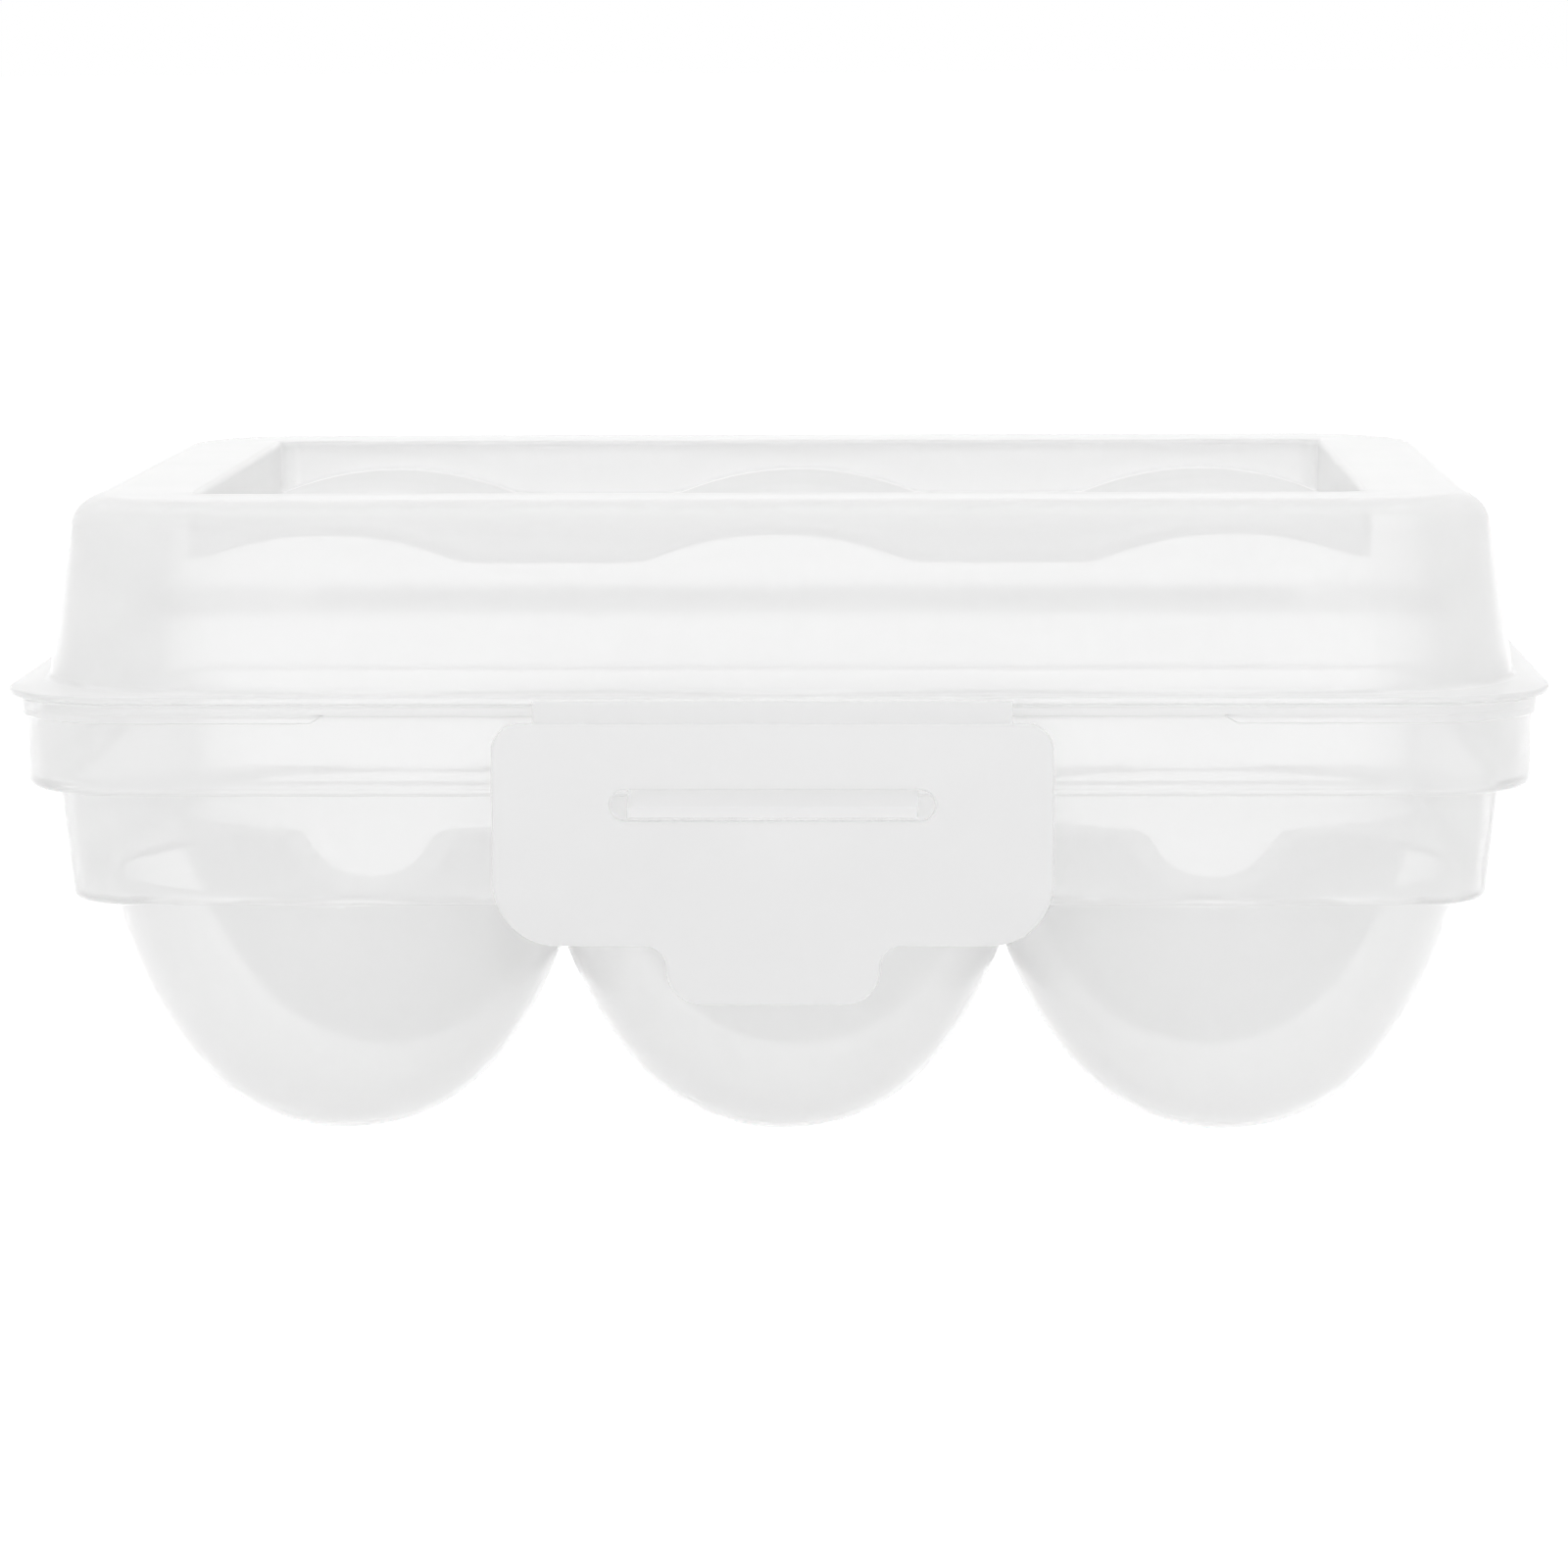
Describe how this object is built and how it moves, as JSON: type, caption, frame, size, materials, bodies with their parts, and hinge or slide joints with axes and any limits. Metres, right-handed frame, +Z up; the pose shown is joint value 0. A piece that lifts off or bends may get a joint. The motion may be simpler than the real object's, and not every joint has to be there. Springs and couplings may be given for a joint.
{
  "type": "egg keeper with flip lid",
  "caption": "Translucent box that keeps eggs upright in round cups, with a hinged lid, a sunken arched top panel and a snap latch flap at the front.",
  "frame": {"origin": "on the table under the middle of the closed box, at the level of the cups' feet", "axes": "+X along the long side of the box, to the right seen from the latch; +Y from the latch to the back hinge; +Z up"},
  "size_m": [0.159, 0.1144, 0.0693],
  "materials": {
    "base_plastic": "milky translucent polypropylene, satin",
    "lid_plastic": "milky translucent polypropylene, satin, thin wall",
    "latch_plastic": "milky translucent polypropylene, fine matt grain"
  },
  "bodies": {
    "base": {"base_wall": "base_plastic", "base_collar": "base_plastic", "base_rim": "base_plastic", "tray_deck": "base_plastic", "egg_cup_front_left": "base_plastic", "egg_cup_front_middle": "base_plastic", "egg_cup_front_right": "base_plastic", "egg_cup_back_left": "base_plastic", "egg_cup_back_middle": "base_plastic", "egg_cup_back_right": "base_plastic", "catch_bar": "base_plastic", "lid_film_hinge": "lid_plastic"},
    "lid": {"lid_flange": "lid_plastic", "lid_cover": "lid_plastic", "lid_top_panel": "lid_plastic", "latch_film_hinge": "latch_plastic"},
    "latch": {"latch_flap": "latch_plastic"}
  },
  "joints": [
    {"name": "lid_hinge", "type": "hinge", "parent": "base", "child": "lid", "pos_m": [0, 0.05646, 0.04908], "axis": [-1, 0, 0], "range_deg": [0, 180], "deforming": ["lid_film_hinge"]},
    {"name": "latch_hinge", "type": "hinge", "parent": "lid", "child": "latch", "pos_m": [0, -0.05618, 0.04835], "axis": [-1, 0, 0], "range_deg": [0, 120], "deforming": ["latch_film_hinge"]}
  ]
}
